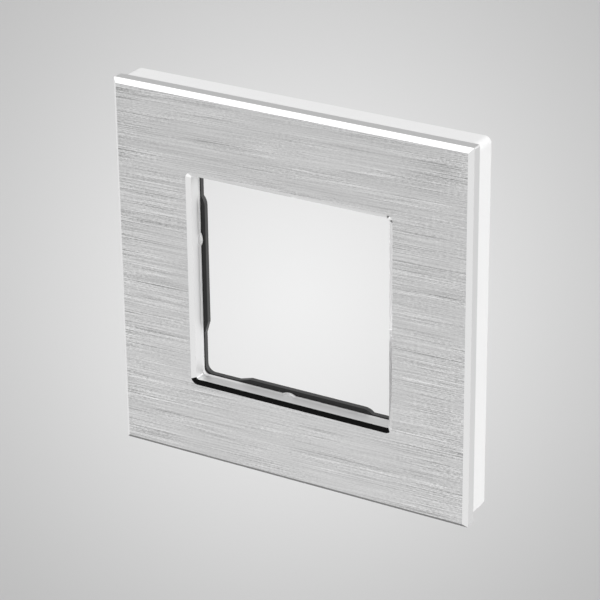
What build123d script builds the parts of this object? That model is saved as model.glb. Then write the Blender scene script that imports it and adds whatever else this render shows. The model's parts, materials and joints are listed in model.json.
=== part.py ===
# One-gang cover frame for modular wall switches and sockets, with its steel support plate.
#
# Frame: +X right and +Z up as seen from the room, and the front faces -Y. The origin is the
# centre of the frame on the wall's plane (y = 0). Heights are counted from the wall towards
# the room, so a sketch at height h lies on Plane.XZ.offset(h), with local x = X and local y = Z.
# All lengths are in millimetres.

from build123d import *
import os

# ---- driving dimensions -------------------------------------------------------------------
cover_size = 86.0  # outside of the square front plate
cover_depth = 9.2  # wall to the plate's front face
plate_thickness = 3.2
outer_bevel_width = 1.0  # polished bevel round the outside, measured in the plate's plane
outer_bevel_depth = 0.9
window = 48.1  # clear square opening
window_bevel_width = 1.0
window_bevel_depth = 0.62
window_corner_r = 0.6
plate_corner_r = 0.4

carrier_side_inset = 0.35  # carrier stands back from the plate's edge at the sides and the top
carrier_bottom_inset = 2.0  # deeper gap below, where a blade lifts the cover off
carrier_corner_r = 1.5
web_thickness = 0.8
thick_web_thickness = 1.6
thick_web_start = 32.6  # from the centre line, where the web gets thicker towards the skirt
skirt_thickness = 1.6
lip_corner_r = 1.3
nub_reach = 0.45  # half-round nubs on the lip, which centre the insert
nub_width = 3.2
nub_along = {"left": 8.1, "bottom": -2.4, "right": 8.1, "top": -2.4}
rib_thickness = 0.9
rib_inner = 30.4
rib_along = (-33.0, -22.0, -9.0, 9.0, 22.0, 33.0)
rib_clear_of_wall = 2.0

centring_gap = 0.2
centring_thickness = 1.0
centring_length = 8.0
skirt_edge_r = 0.3

strip_length = 60.0
strip_width = 5.0
strip_thickness = 0.3
strip_centre = 37.0
strip_play = 0.1

steel = 1.2  # thickness of the support plate's sheet
web_to_steel = 0.1
ring_inset = 0.2  # the steel ring's edge shows this far inside the clear opening
steel_window_corner_r = 1.9
step_wall_outer = 27.6  # outer face of the upright between ring and flange, half size
flange_outer = 35.5  # half size
flange_corner_r = 3.0
bend_inner_r = 0.4
step_from = 8.0  # each upright runs from here to step_to, both sides of the middle
step_to = 22.0
pad_inner = 26.6  # the flange reaches in this far at the box screws
pad_width = 14.0
stamped_edge_r = 0.15
screw_spacing = 60.0
slot_length = 5.2
slot_width = 4.0

tongue_reach = 1.05
tongue_ramp = 2.9
tongue_shoulder = 2.2
tongue_span = {"left": (-14.5, 18.0), "bottom": (-15.4, 18.0), "right": (-14.5, 18.0), "top": (-15.4, 18.0)}

hook_along = 15.0
hook_width = 6.0
hook_thickness = 0.9
hook_gap = 0.15  # between the hook's arm and the upright it grips
hook_barb = 0.6
hook_tip = 1.5  # height of the hook's free end
barb_bottom = 1.9
barb_top = 2.9
catch_bottom = 1.7  # punched window in the upright, that the barb snaps into
catch_top = 3.1
catch_width = 7.0

# ---- derived dimensions -------------------------------------------------------------------
half_cover = cover_size / 2
half_window = window / 2
half_ring_window = half_window - ring_inset
plate_back = cover_depth - plate_thickness
web_back = plate_back - web_thickness
thick_web_back = plate_back - thick_web_thickness
ring_front = web_back - web_to_steel
ring_back = ring_front - steel
step_wall_inner = step_wall_outer - steel
bend_outer_r = bend_inner_r + steel
ring_outer = step_wall_outer - bend_outer_r  # flat of the raised ring, half size
flange_inner = step_wall_inner + bend_outer_r
pad_depth = flange_inner + steel - pad_inner
carrier_side = half_cover - carrier_side_inset
carrier_bottom = half_cover - carrier_bottom_inset
nub_r = (nub_width**2 / 4 + nub_reach**2) / (2 * nub_reach)
SIDES = ("left", "bottom", "right", "top")

os.makedirs("parts", exist_ok=True)


def at_height(height):
    """Sketch plane at this height above the wall."""
    return Plane.XZ.offset(height)


def side_point(side, along, outward):
    """Point in a sketch: outward from the centre line towards a side, and along that side.

    A half turn takes left to right and bottom to top.
    """
    return {
        "left": (-outward, along),
        "bottom": (along, -outward),
        "right": (outward, -along),
        "top": (-along, outward),
    }[side]


def side_box(side, along, outward, length, width, mode=Mode.ADD):
    """Rectangle whose length runs along a side."""
    with Locations(side_point(side, along, outward)):
        if side in ("left", "right"):
            Rectangle(width, length, mode=mode)
        else:
            Rectangle(length, width, mode=mode)


def section_plane(side, along):
    """Plane across a side: local x runs outward and local y is the height above the wall."""
    origin_x, origin_z = side_point(side, along, 0)
    outward_x, outward_z = side_point(side, 0, 1)
    outward = Vector(outward_x, 0, outward_z)
    return Plane(origin=(origin_x, 0, origin_z), x_dir=outward, z_dir=outward.cross(Vector(0, -1, 0)))


def corner_at(sketch, x, y):
    """The sketch's corner nearest to this place."""
    return sketch.vertices().sort_by_distance((x, y, 0))[0]


def save(piece, name):
    """Label one finished piece and write it as its own node."""
    piece.part.label = name
    export_step(piece.part, f"parts/{name}.step")


# ---- front plate: brushed aluminium with polished bevels ------------------------------------
with BuildPart() as front_plate:
    with BuildSketch(at_height(plate_back)):
        Rectangle(cover_size, cover_size)
    extrude(amount=plate_thickness)
    front_face = front_plate.faces().sort_by(Axis.Y)[0]
    chamfer(front_face.edges(), length=outer_bevel_width, length2=outer_bevel_depth, reference=front_face)
    with BuildSketch(at_height(plate_back)):
        RectangleRounded(window, window, window_corner_r)
    extrude(amount=plate_thickness, mode=Mode.SUBTRACT)
    with BuildSketch(at_height(cover_depth - window_bevel_depth)):
        RectangleRounded(window, window, window_corner_r)
    with BuildSketch(at_height(cover_depth)):
        mouth = window + 2 * window_bevel_width
        RectangleRounded(mouth, mouth, window_corner_r + window_bevel_width)
    loft(mode=Mode.SUBTRACT)
    corners = front_plate.edges().filter_by(Axis.Y).filter_by(
        lambda edge: abs(edge.center().X) > half_window + 1 and abs(edge.center().Z) > half_window + 1
    )
    fillet(corners, plate_corner_r)
save(front_plate, "front_plate")

# ---- carrier: one white moulding behind the plate -------------------------------------------
with BuildPart() as carrier_frame:
    outline_height = carrier_side + carrier_bottom
    outline_centre = (0, (carrier_side - carrier_bottom) / 2)
    with BuildSketch(at_height(0)):
        with Locations(outline_centre):
            Rectangle(2 * carrier_side, outline_height)
    extrude(amount=plate_back)
    corners = carrier_frame.edges().filter_by(Axis.Y)
    fillet(corners.group_by(Axis.Z)[-1], carrier_corner_r)
    fillet(carrier_frame.edges().filter_by(Axis.Y).group_by(Axis.Z)[0], plate_corner_r)
    fillet(carrier_frame.faces().sort_by(Axis.Y)[-1].edges(), skirt_edge_r)
    # hollow behind the web, in two depths
    with BuildSketch(at_height(0)):
        with Locations(outline_centre):
            Rectangle(2 * (carrier_side - skirt_thickness), outline_height - 2 * skirt_thickness)
    extrude(amount=thick_web_back, mode=Mode.SUBTRACT)
    with BuildSketch(at_height(0)):
        RectangleRounded(2 * thick_web_start, 2 * thick_web_start, carrier_corner_r)
    extrude(amount=web_back, mode=Mode.SUBTRACT)
    # stiffening ribs over the support plate's flange
    with BuildSketch(at_height(rib_clear_of_wall)):
        for side in SIDES:
            rib_outer = (carrier_bottom if side == "bottom" else carrier_side) - skirt_thickness / 2
            for along in rib_along:
                side_box(side, along, (rib_inner + rib_outer) / 2, rib_thickness, rib_outer - rib_inner)
    extrude(amount=web_back - rib_clear_of_wall)
    # blocks that centre the carrier on the support plate's uprights
    with BuildSketch(at_height(rib_clear_of_wall)):
        for side in ("bottom", "top"):
            for along in (-hook_along, hook_along):
                block_centre = step_wall_outer + centring_gap + centring_thickness / 2
                side_box(side, along, block_centre, centring_length, centring_thickness)
    extrude(amount=web_back - rib_clear_of_wall)
    # window lip, with a nub on each side
    with BuildSketch(at_height(web_back)):
        RectangleRounded(window, window, lip_corner_r)
        for side in SIDES:
            with Locations(side_point(side, nub_along[side], half_window - nub_reach + nub_r)):
                Circle(nub_r, mode=Mode.SUBTRACT)
    extrude(amount=web_thickness, mode=Mode.SUBTRACT)
    # shallow pockets for the adhesive strips
    with BuildSketch(at_height(plate_back - strip_thickness)):
        for side in SIDES:
            side_box(side, 0, strip_centre, strip_length, strip_width)
    extrude(amount=strip_thickness, mode=Mode.SUBTRACT)
save(carrier_frame, "carrier_frame")

# ---- double-sided adhesive strips between carrier and plate ---------------------------------
for side in SIDES:
    with BuildPart() as bond_strip:
        with BuildSketch(at_height(plate_back - strip_thickness)):
            side_box(side, 0, strip_centre, strip_length - strip_play, strip_width - strip_play)
        extrude(amount=strip_thickness)
    save(bond_strip, f"bond_strip_{side}")

# ---- snap hooks: spring fingers of the carrier that grip the support plate -------------------
arm_inner = step_wall_outer + hook_gap
arm_outer = arm_inner + hook_thickness
for side in ("left", "right"):
    for along in (-hook_along, hook_along):
        level = "upper" if side_point(side, along, 0)[1] > 0 else "lower"
        with BuildPart() as snap_hook:
            with BuildSketch(section_plane(side, along)):
                with BuildLine():
                    Polyline(
                        (arm_inner, web_back),
                        (arm_outer, web_back),
                        (arm_outer, hook_tip),
                        (arm_inner + hook_thickness / 3, hook_tip),
                        (arm_inner - hook_barb, (barb_bottom + barb_top) / 2),
                        (arm_inner - hook_barb, barb_top),
                        (arm_inner, barb_top),
                        close=True,
                    )
                make_face()
            extrude(amount=hook_width / 2, both=True)
        save(snap_hook, f"snap_hook_{level}_{side}")

# ---- support plate: black steel pressing screwed to the wall box ----------------------------
with BuildPart() as support_plate:
    # raised ring round the window, with the tongues that hold the insert
    with BuildSketch(at_height(ring_back)):
        RectangleRounded(2 * ring_outer, 2 * ring_outer, steel_window_corner_r)
        RectangleRounded(2 * half_ring_window, 2 * half_ring_window, steel_window_corner_r, mode=Mode.SUBTRACT)
    extrude(amount=steel)
    with BuildSketch(at_height(ring_back)):
        for side in SIDES:
            start, end = tongue_span[side]
            flat_end = side_point(side, end - tongue_shoulder, half_window - tongue_reach)
            heading = Vector(*side_point(side, 1, 0))
            with BuildLine():
                Polyline(
                    side_point(side, end, half_ring_window),
                    side_point(side, end, half_window + steel),
                    side_point(side, start, half_window + steel),
                    side_point(side, start, half_ring_window),
                    side_point(side, start + tongue_ramp, half_window - tongue_reach),
                    flat_end,
                )
                TangentArc(flat_end, side_point(side, end, half_ring_window), tangent=heading)
            make_face()
    extrude(amount=steel)
    # flat flange on the wall, widened inwards where the box screws go
    with BuildSketch(at_height(0)):
        RectangleRounded(2 * flange_outer, 2 * flange_outer, flange_corner_r)
        Rectangle(2 * flange_inner, 2 * flange_inner, mode=Mode.SUBTRACT)
        for side in SIDES:
            side_box(side, 0, pad_inner + pad_depth / 2, pad_width, pad_depth)
        for side in SIDES:
            with Locations(side_point(side, 0, screw_spacing / 2)):
                turn = 0 if side in ("left", "right") else 90
                SlotOverall(slot_length, slot_width, rotation=turn, mode=Mode.SUBTRACT)
    extrude(amount=steel)
    # bent uprights, two on each side, that carry the ring on the flange
    upright_middle = (step_from + step_to) / 2
    for side in SIDES:
        for along in (-upright_middle, upright_middle):
            with BuildSketch(section_plane(side, along)) as step:
                with BuildLine():
                    Polyline(
                        (ring_outer - steel, ring_back),
                        (ring_outer - steel, ring_front),
                        (step_wall_outer, ring_front),
                        (step_wall_outer, steel),
                        (flange_inner + steel, steel),
                        (flange_inner + steel, 0),
                        (step_wall_inner, 0),
                        (step_wall_inner, ring_back),
                        close=True,
                    )
                make_face()
                fillet(corner_at(step, step_wall_outer, ring_front), bend_outer_r)
                fillet(corner_at(step, step_wall_inner, 0), bend_outer_r)
                fillet(corner_at(step, step_wall_outer, steel), bend_inner_r)
                fillet(corner_at(step, step_wall_inner, ring_back), bend_inner_r)
            extrude(amount=(step_to - step_from) / 2, both=True)
            # window in the upright, that a hook's barb snaps into
            with BuildSketch(section_plane(side, along)):
                with Locations(((step_wall_inner + step_wall_outer) / 2, (catch_bottom + catch_top) / 2)):
                    Rectangle(2 * steel, catch_top - catch_bottom)
            extrude(amount=catch_width / 2, both=True, mode=Mode.SUBTRACT)
    # stamped edge of the ring, slightly rounded towards the room
    ring_edges = support_plate.edges().filter_by(
        lambda edge: abs(edge.center().Y + ring_front) < 0.01
        and max(abs(edge.center().X), abs(edge.center().Z)) < half_window + 0.01
    )
    fillet(ring_edges, stamped_edge_r)
save(support_plate, "support_plate")
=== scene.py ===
"""Looks of the one-gang cover frame: brushed and polished aluminium, white moulding, black steel.

It hangs in a pale studio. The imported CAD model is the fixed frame. Places are in metres, in the
model's own frame, and angles in degrees. Names that end in _mm are in millimetres.
"""
import json
import math

import bpy
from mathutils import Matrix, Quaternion, Vector


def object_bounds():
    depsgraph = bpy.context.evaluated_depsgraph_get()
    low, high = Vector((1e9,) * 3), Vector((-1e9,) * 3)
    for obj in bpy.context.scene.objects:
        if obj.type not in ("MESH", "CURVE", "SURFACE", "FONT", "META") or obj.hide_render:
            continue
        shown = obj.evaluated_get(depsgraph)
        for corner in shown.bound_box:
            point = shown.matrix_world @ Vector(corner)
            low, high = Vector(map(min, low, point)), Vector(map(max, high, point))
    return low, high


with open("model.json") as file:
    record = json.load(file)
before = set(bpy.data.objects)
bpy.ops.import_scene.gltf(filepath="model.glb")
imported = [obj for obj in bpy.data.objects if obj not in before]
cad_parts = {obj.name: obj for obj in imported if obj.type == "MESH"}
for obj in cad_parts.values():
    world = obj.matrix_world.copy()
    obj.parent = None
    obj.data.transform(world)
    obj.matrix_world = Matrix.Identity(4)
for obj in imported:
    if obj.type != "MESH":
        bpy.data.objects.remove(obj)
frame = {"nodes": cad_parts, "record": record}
CAD_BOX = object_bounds()
MM = 0.001

# ---- the camera stands to the right of the front and above it --------------------------------
VIEW_AZIMUTH = 30.66
VIEW_ELEVATION = 24.7
VIEW_ROLL = -0.64
VIEW_DISTANCE = 0.5813
VIEW_LENS_MM = 164.9
SENSOR_MM = 36.0
AIM_FROM_FRONT_CENTRE = Vector((2.04, 1.48, 0.51)) * MM

# ---- surfaces: tones are base colours from 0 to 1 --------------------------------------------
# how squarely a surface faces the front or the back tells the plate's faces from its bevels and walls
FACE_FROM, FACE_FULL = 0.93, 0.97
BEVEL_FROM, BEVEL_FULL = 0.2, 0.4
WINDOW_REACH = 0.025  # what lies nearer to the centre than this, along X and Z, is in the window

BRUSHED_TONE = 0.775
BRUSHED_ROUGHNESS = 0.34
DARK_LINES_ROUGHER = 0.35
BRUSHING_SLOPE = 0.024  # how much the lines rise towards +X
# feature sizes in mm along X, Y and Z, offset, detail, roughness of the noise, and weight
BRUSHING_LAYERS = (
    ((48.0, 50.0, 0.15), (3.1, 0, 7.7), 1.0, 0.5, 0.55),  # long fine lines
    ((13.0, 50.0, 0.16), (0, 0, 0), 1.0, 0.5, 0.45),  # shorter lines
    ((0.8, 50.0, 0.30), (0.3, 0, 5.9), 3.0, 0.8, 0.62),  # grain
)
SCRATCH_DEPTH = 0.18
BAND_DEPTH = 0.10
EDGE_START = 0.020  # the brushing gets stronger from here to the plate's left and right edges
MIDDLE_STRENGTH, EDGE_STRENGTH = 0.85, 1.35

POLISHED_TONE = 0.93
POLISHED_ROUGHNESS = 0.035
# the plate's walls in the window get a lighter tone than its outer walls: painted light on one and the
# same aluminium
OUTER_WALL_TONE = 0.735
WINDOW_WALL_PAINTED_LIGHT_TONE = 0.87
WALL_ROUGHNESS = 0.50
BLACK_TONE = 0.012
EDGE_PAINTED_HIGHLIGHT_TONE = 0.03  # painted highlight, added on the steel's edge faces in the window
WHITE_TONE = 0.90
FOAM_TONE = 0.72

# ---- studio ----------------------------------------------------------------------------------
FLOOR_BELOW_OBJECT = 0.26
FLOOR_RADIUS = 7.0
FLOOR_SIDES = 96
# the floor's tone: a painted pool of light on a pale ground
FLOOR_FAR_TONE = 0.54
FLOOR_POOL_BASE = 0.36
FLOOR_POOL_TONE = 0.565
FLOOR_POOL_CENTRE = (-0.336, 0.562)
FLOOR_POOL_TURN = 120.7
FLOOR_POOL_HALF_WIDTH = 0.196
FLOOR_POOL_STRETCH = 2.39
FLOOR_POOL_POWER = 1.514
FLOOR_POOL_FAN = 0.38  # the pool widens away from the viewer by this much in each half length
FLOOR_POOL_NARROWEST = 0.2
FLOOR_POOL_RIM_SOFTNESS = 0.05

ROOM_LOW = 1.06  # radiance of the room low down
ROOM_HIGH = 0.60  # and from the level of the eye up
# azimuth, elevation, width, height, softness of the side and of the level edges, and radiance;
# a later card covers the earlier ones
ROOM_CARDS = (
    (95, 25, 90, 70, 10, 10, 2.08),  # soft box on the right
    (20, 75, 100, 60, 10, 10, 1.10),  # soft box overhead
    (-43, 51, 80, 20, 2, 2, 1.35),  # strip that the upper bevels mirror
    (44, -25, 60, 30, 5, 5, 0.82),  # pale table in front on the right
    (-110, -25, 40, 34, 5, 5, 0.80),  # pale table on the left
    (-59, -62, 40, 26, 4, 4, 0.68),  # duller table below on the left
    (-131, -53, 30, 24, 3, 3, 0.22),  # shade under the object
    (149, -25, 40, 30, 5, 5, 0.81),  # pale table behind on the right
    (-18, 21, 108, 34, 7, 2, 0.008),  # dark side of the room, behind the camera
    (30, 14, 36, 50, 3, 3, 0.008),  # it reaches lower on the right
)
CARD_SIDE_OF_ROOM = 0.05  # a card shows only in directions whose cosine to its own is over this


def direction(azimuth, elevation):
    """Unit vector from the object towards a place in the studio. Azimuth 0 is straight in front."""
    a, e = math.radians(azimuth), math.radians(elevation)
    return Vector((math.sin(a) * math.cos(e), -math.cos(a) * math.cos(e), math.sin(e)))


# ---- shader nodes ----------------------------------------------------------------------------
def new_material(name):
    """A material with its node tree and its Principled shader."""
    material = bpy.data.materials.new(name)
    material.use_nodes = True
    tree = material.node_tree
    return material, tree, tree.nodes["Principled BSDF"]


def node(tree, kind, **settings):
    """A shader node with its settings. A setting named in_1 is the value of input 1."""
    made = tree.nodes.new(kind)
    for key, value in settings.items():
        if key.startswith("in_"):
            made.inputs[int(key[3:])].default_value = value
        else:
            setattr(made, key, value)
    return made


def feed(tree, made, slot, value):
    """Gives an input a socket or a number."""
    if isinstance(value, (int, float)):
        made.inputs[slot].default_value = value
    else:
        tree.links.new(value, made.inputs[slot])


def calc(tree, operation, *values, clamp=False):
    """A Math node on sockets or numbers. Returns its output socket."""
    made = node(tree, "ShaderNodeMath", operation=operation, use_clamp=clamp)
    for slot, value in enumerate(values):
        feed(tree, made, slot, value)
    return made.outputs[0]


def centred(tree, value):
    """A noise of 0 to 1 moved to -0.5 to 0.5."""
    return calc(tree, "SUBTRACT", value, 0.5)


def remap(tree, value, low, high, to_low=0.0, to_high=1.0):
    """Smooth step of a socket from low..high to to_low..to_high."""
    made = node(tree, "ShaderNodeMapRange", interpolation_type="SMOOTHSTEP")
    for slot, item in enumerate((value, low, high, to_low, to_high)):
        feed(tree, made, slot, item)
    return made.outputs[0]


def mix_numbers(tree, factor, a, b):
    """a where factor is 0, b where it is 1; a and b are sockets or numbers."""
    made = node(tree, "ShaderNodeMix", data_type="FLOAT")
    for slot, value in ((0, factor), (2, a), (3, b)):
        feed(tree, made, slot, value)
    return made.outputs[0]


def grey(tree, value):
    """A colour socket whose three channels are value."""
    made = node(tree, "ShaderNodeCombineColor")
    for channel in range(3):
        tree.links.new(value, made.inputs[channel])
    return made.outputs[0]


def components(tree, vector):
    """The X, Y and Z sockets of a vector."""
    made = node(tree, "ShaderNodeSeparateXYZ")
    tree.links.new(vector, made.inputs[0])
    return made.outputs


def object_place(tree):
    """Where the shaded point is, in the model's own frame."""
    return node(tree, "ShaderNodeTexCoord").outputs["Object"]


def surface_normal(tree):
    return node(tree, "ShaderNodeNewGeometry").outputs["True Normal"]


def noise(tree, coordinates, size_mm, offset=(0, 0, 0), detail=2.0, roughness=0.5):
    """Noise whose features are about size_mm along X, Y and Z. Output is near 0 to 1."""
    mapping = node(tree, "ShaderNodeMapping")
    mapping.inputs["Scale"].default_value = [1 / (size * MM) for size in size_mm]
    mapping.inputs["Location"].default_value = offset
    tree.links.new(coordinates, mapping.inputs["Vector"])
    made = node(tree, "ShaderNodeTexNoise")
    made.inputs["Scale"].default_value = 1.0
    made.inputs["Detail"].default_value = detail
    made.inputs["Roughness"].default_value = roughness
    tree.links.new(mapping.outputs[0], made.inputs["Vector"])
    return made.outputs[0]


def in_window(tree, at):
    """1 on what lies in the window, 0 elsewhere."""
    reach = calc(tree, "MAXIMUM", calc(tree, "ABSOLUTE", at[0]), calc(tree, "ABSOLUTE", at[2]))
    return calc(tree, "LESS_THAN", reach, WINDOW_REACH)


def add_bump(tree, shader, height, strength, distance_mm):
    bump = node(tree, "ShaderNodeBump")
    bump.inputs["Strength"].default_value = strength
    bump.inputs["Distance"].default_value = distance_mm * MM
    tree.links.new(height, bump.inputs["Height"])
    tree.links.new(bump.outputs[0], shader.inputs["Normal"])


# ---- materials -------------------------------------------------------------------------------
def across_the_brushing(tree, normal):
    """The direction in each surface that crosses lines drawn along X. Sides that look along X use Z."""
    cross = node(tree, "ShaderNodeVectorMath", operation="CROSS_PRODUCT", in_1=(1, 0, 0))
    tree.links.new(normal, cross.inputs[0])
    never_zero = node(tree, "ShaderNodeVectorMath", operation="ADD", in_1=(0, 0, 0.02))
    tree.links.new(cross.outputs[0], never_zero.inputs[0])
    unit = node(tree, "ShaderNodeVectorMath", operation="NORMALIZE")
    tree.links.new(never_zero.outputs[0], unit.inputs[0])
    return unit.outputs[0]


def brushing_lines(tree, at):
    """Tone of the brushing, around 0: fine lines, grain, sparse dark scratches and soft bands."""
    turned = node(tree, "ShaderNodeCombineXYZ")
    tree.links.new(at[0], turned.inputs[0])
    tree.links.new(calc(tree, "MULTIPLY_ADD", at[0], -BRUSHING_SLOPE, at[2]), turned.inputs[2])
    brushed = turned.outputs[0]
    lines = 0.0
    for size_mm, offset, detail, roughness, weight in BRUSHING_LAYERS:
        layer = noise(tree, brushed, size_mm, offset, detail, roughness)
        lines = calc(tree, "MULTIPLY_ADD", centred(tree, layer), weight, lines)
    scratches = noise(tree, brushed, (26.0, 50.0, 0.24), offset=(9.2, 0, 1.3), detail=1.0)
    lines = calc(tree, "MULTIPLY_ADD", remap(tree, scratches, 0.60, 0.74), -SCRATCH_DEPTH, lines)
    # the brushing is stronger in patches, and towards the plate's left and right edges
    patches = noise(tree, brushed, (22.0, 50.0, 3.0), offset=(1.7, 0, 4.4), detail=1.0)
    half_cover = CAD_BOX[1].x
    sideways = calc(tree, "ABSOLUTE", at[0])
    edge = remap(tree, sideways, EDGE_START, half_cover, MIDDLE_STRENGTH, EDGE_STRENGTH)
    strength = calc(tree, "MULTIPLY", remap(tree, patches, 0.3, 0.7, 0.6, 1.5), edge)
    lines = calc(tree, "MULTIPLY", lines, strength)
    bands = noise(tree, brushed, (60.0, 50.0, 2.6), offset=(5.5, 0, 2.2))
    return calc(tree, "MULTIPLY_ADD", centred(tree, bands), BAND_DEPTH, lines)


def brushed_plate_material():
    """Aluminium: brushed along X on the flat face, mirror-polished on the bevels, satin on the walls,
    with painted light on the walls in the window.
    """
    material, tree, shader = new_material("brushed_plate")
    at = components(tree, object_place(tree))
    normal = surface_normal(tree)
    facing = calc(tree, "ABSOLUTE", components(tree, normal)[1])
    is_face = remap(tree, facing, FACE_FROM, FACE_FULL)
    is_bevel = calc(tree, "SUBTRACT", remap(tree, facing, BEVEL_FROM, BEVEL_FULL), is_face, clamp=True)
    lines = brushing_lines(tree, at)

    brushed_tone = calc(tree, "ADD", lines, BRUSHED_TONE, clamp=True)
    # painted light: the walls in the window are given a lighter tone than the outer walls
    wall_tone = mix_numbers(tree, in_window(tree, at), OUTER_WALL_TONE, WINDOW_WALL_PAINTED_LIGHT_TONE)
    flat_tone = mix_numbers(tree, is_face, wall_tone, brushed_tone)
    tone = mix_numbers(tree, is_bevel, flat_tone, POLISHED_TONE)
    tree.links.new(grey(tree, tone), shader.inputs["Base Color"])

    brushed_roughness = calc(tree, "MULTIPLY_ADD", lines, -DARK_LINES_ROUGHER, BRUSHED_ROUGHNESS)
    flat_roughness = mix_numbers(tree, is_face, WALL_ROUGHNESS, brushed_roughness)
    roughness = mix_numbers(tree, is_bevel, flat_roughness, POLISHED_ROUGHNESS)
    tree.links.new(roughness, shader.inputs["Roughness"])
    shader.inputs["Metallic"].default_value = 1.0
    shader.inputs["Anisotropic"].default_value = 0.7
    tree.links.new(across_the_brushing(tree, normal), shader.inputs["Tangent"])
    add_bump(tree, shader, calc(tree, "MULTIPLY", lines, is_face), strength=0.12, distance_mm=0.02)
    return material


def white_moulding_material():
    """Satin white moulded plastic with a faint grain and slow tone changes."""
    material, tree, shader = new_material("white_moulding")
    place = object_place(tree)
    slow = noise(tree, place, (12.0, 12.0, 12.0))
    tone = calc(tree, "MULTIPLY_ADD", centred(tree, slow), 0.03, WHITE_TONE)
    tree.links.new(grey(tree, tone), shader.inputs["Base Color"])
    grain = noise(tree, place, (0.18, 0.18, 0.18))
    tree.links.new(calc(tree, "MULTIPLY_ADD", grain, 0.16, 0.36), shader.inputs["Roughness"])
    add_bump(tree, shader, grain, strength=0.15, distance_mm=0.02)
    return material


def black_steel_material():
    """Black coated steel sheet: satin, with a fine orange peel, and a painted highlight that makes its
    edge faces in the window greyer.
    """
    material, tree, shader = new_material("black_coating")
    place = object_place(tree)
    peel = noise(tree, place, (0.5, 0.5, 0.5), detail=3.0, roughness=0.6)
    slow = noise(tree, place, (8.0, 8.0, 8.0), offset=(2.0, 5.0, 1.0))
    facing = calc(tree, "ABSOLUTE", components(tree, surface_normal(tree))[1])
    # painted highlight: the steel's edge faces in the window get a lighter tone
    is_edge = calc(tree, "LESS_THAN", facing, 0.5)
    painted_edge_highlight = calc(tree, "MULTIPLY", is_edge, in_window(tree, components(tree, place)))
    tone = calc(tree, "MULTIPLY_ADD", centred(tree, slow), 0.008, BLACK_TONE)
    tone = calc(tree, "MULTIPLY_ADD", painted_edge_highlight, EDGE_PAINTED_HIGHLIGHT_TONE, tone)
    tree.links.new(grey(tree, tone), shader.inputs["Base Color"])
    tree.links.new(calc(tree, "MULTIPLY_ADD", peel, 0.2, 0.30), shader.inputs["Roughness"])
    add_bump(tree, shader, peel, strength=0.25, distance_mm=0.03)
    return material


def foam_tape_material():
    """Thin off-white foam tape with open cells."""
    material, tree, shader = new_material("foam_tape")
    cells = noise(tree, object_place(tree), (0.35, 0.35, 0.35), detail=3.0, roughness=0.7)
    tone = calc(tree, "MULTIPLY_ADD", centred(tree, cells), 0.15, FOAM_TONE)
    tree.links.new(grey(tree, tone), shader.inputs["Base Color"])
    tree.links.new(calc(tree, "MULTIPLY_ADD", cells, 0.1, 0.8), shader.inputs["Roughness"])
    return material


SLOT_MATERIALS = {
    "brushed_aluminium": brushed_plate_material(),
    "white_moulding": white_moulding_material(),
    "black_steel": black_steel_material(),
    "adhesive_foam": foam_tape_material(),
}
for part in frame["record"]["subparts"]:
    cad_node = frame["nodes"][part["node"]]
    for slot in cad_node.material_slots:
        slot.material = SLOT_MATERIALS[part["material_slot"]]


# ---- studio: a pale floor, a room with soft boxes, and a camera --------------------------------
def painted_light_pool(tree, place):
    """A painted pool of light: 1 in the middle of an egg-shaped pool on the floor, and falling smoothly
    to 0 round it.
    """
    half = FLOOR_POOL_HALF_WIDTH
    pool = node(tree, "ShaderNodeMapping", vector_type="TEXTURE")
    pool.inputs["Location"].default_value = (*FLOOR_POOL_CENTRE, 0)
    pool.inputs["Rotation"].default_value = (0, 0, math.radians(FLOOR_POOL_TURN))
    pool.inputs["Scale"].default_value = (half * FLOOR_POOL_STRETCH, half, 1)
    tree.links.new(place, pool.inputs["Vector"])
    along, across, _ = components(tree, pool.outputs[0])
    fan = calc(tree, "MULTIPLY_ADD", along, FLOOR_POOL_FAN, 1.0)
    fan = calc(tree, "MAXIMUM", fan, FLOOR_POOL_NARROWEST)
    square = calc(tree, "MULTIPLY_ADD", along, along, calc(tree, "MULTIPLY", across, across))
    away = calc(tree, "DIVIDE", calc(tree, "SQRT", square), fan)
    fall = calc(tree, "MULTIPLY", calc(tree, "POWER", away, FLOOR_POOL_POWER), -1.0)
    return calc(tree, "EXPONENT", fall)


def pale_floor():
    """A round pale floor well below the object, which hangs as on an invisible wall. Its tone holds a
    painted pool of light.
    """
    height = CAD_BOX[0].z - FLOOR_BELOW_OBJECT
    turns = [step * math.tau / FLOOR_SIDES for step in range(FLOOR_SIDES)]
    rim = [(FLOOR_RADIUS * math.cos(turn), FLOOR_RADIUS * math.sin(turn), height) for turn in turns]
    mesh = bpy.data.meshes.new("studio_floor")
    mesh.from_pydata(rim, [], [list(range(FLOOR_SIDES))])
    floor = bpy.data.objects.new("studio_floor", mesh)
    bpy.context.scene.collection.objects.link(floor)
    material, tree, shader = new_material("pale_floor")
    pool = painted_light_pool(tree, object_place(tree))
    # painted pool of light: the floor's tone is lighter in an egg-shaped patch
    tone = calc(tree, "MULTIPLY_ADD", pool, FLOOR_POOL_TONE, FLOOR_POOL_BASE)
    tone = calc(tree, "SMOOTH_MAX", tone, FLOOR_FAR_TONE, FLOOR_POOL_RIM_SOFTNESS)
    tree.links.new(grey(tree, tone), shader.inputs["Base Color"])
    shader.inputs["Roughness"].default_value = 1.0
    shader.inputs["Specular IOR Level"].default_value = 0.0
    mesh.materials.append(material)
    floor.visible_glossy = False  # cards of the room stand in for it in the polished bevels


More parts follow.
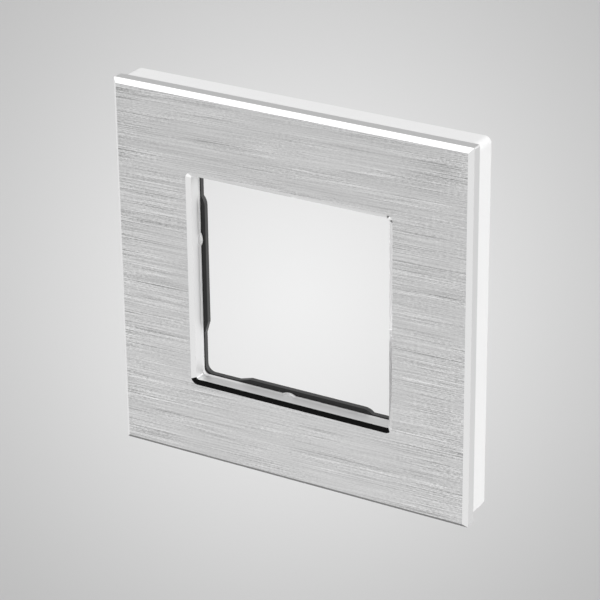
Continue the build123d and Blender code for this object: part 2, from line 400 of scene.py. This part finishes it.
def add_card(tree, facing, so_far, card):
    """Adds a soft-edged rectangle to the room's radiance, centred on a direction."""
    azimuth, elevation, width, height, side_soft, level_soft, radiance = card
    forward = direction(azimuth, elevation)
    right = Vector((math.cos(math.radians(azimuth)), math.sin(math.radians(azimuth)), 0))
    up = right.cross(-forward)
    along = []
    for axis in (forward, right, up):
        dot = node(tree, "ShaderNodeVectorMath", operation="DOT_PRODUCT", in_1=axis)
        tree.links.new(facing, dot.inputs[0])
        along.append(dot.outputs["Value"])
    mask = calc(tree, "GREATER_THAN", along[0], CARD_SIDE_OF_ROOM)
    for offset, size, softness in ((along[1], width, side_soft), (along[2], height, level_soft)):
        angle = calc(tree, "ABSOLUTE", calc(tree, "ARCTAN2", offset, along[0]))
        inner, outer = math.radians(size / 2 - softness), math.radians(size / 2 + softness)
        mask = calc(tree, "MULTIPLY", mask, remap(tree, angle, inner, outer, 1.0, 0.0))
    return mix_numbers(tree, mask, so_far, radiance)


def room_light():
    """The room: a level that changes slowly with height, with soft boxes, cards and a dark side."""
    world = bpy.data.worlds.new("studio_room")
    bpy.context.scene.world = world
    world.use_nodes = True
    tree = world.node_tree
    facing = node(tree, "ShaderNodeTexCoord").outputs["Generated"]
    level = remap(tree, components(tree, facing)[2], -0.9, 0.1, ROOM_LOW, ROOM_HIGH)
    for card in ROOM_CARDS:
        level = add_card(tree, facing, level, card)
    tree.links.new(grey(tree, level), tree.nodes["Background"].inputs["Color"])


def add_camera():
    """The camera looks at the front's centre, or close to it, along the view's direction."""
    camera_data = bpy.data.cameras.new("camera")
    camera = bpy.data.objects.new("camera", camera_data)
    bpy.context.scene.collection.objects.link(camera)
    bpy.context.scene.camera = camera
    camera_data.sensor_width = SENSOR_MM
    camera_data.lens = VIEW_LENS_MM
    camera_data.clip_start, camera_data.clip_end = 0.05, 50.0
    aim = Vector((0, CAD_BOX[0].y, 0)) + AIM_FROM_FRONT_CENTRE
    outward = direction(VIEW_AZIMUTH, VIEW_ELEVATION)
    camera.location = aim + outward * VIEW_DISTANCE
    camera.rotation_mode = "QUATERNION"
    roll = Quaternion((0, 0, 1), math.radians(VIEW_ROLL))
    camera.rotation_quaternion = (-outward).to_track_quat("-Z", "Y") @ roll


pale_floor()
room_light()
add_camera()
bpy.context.scene.view_settings.view_transform = "Standard"
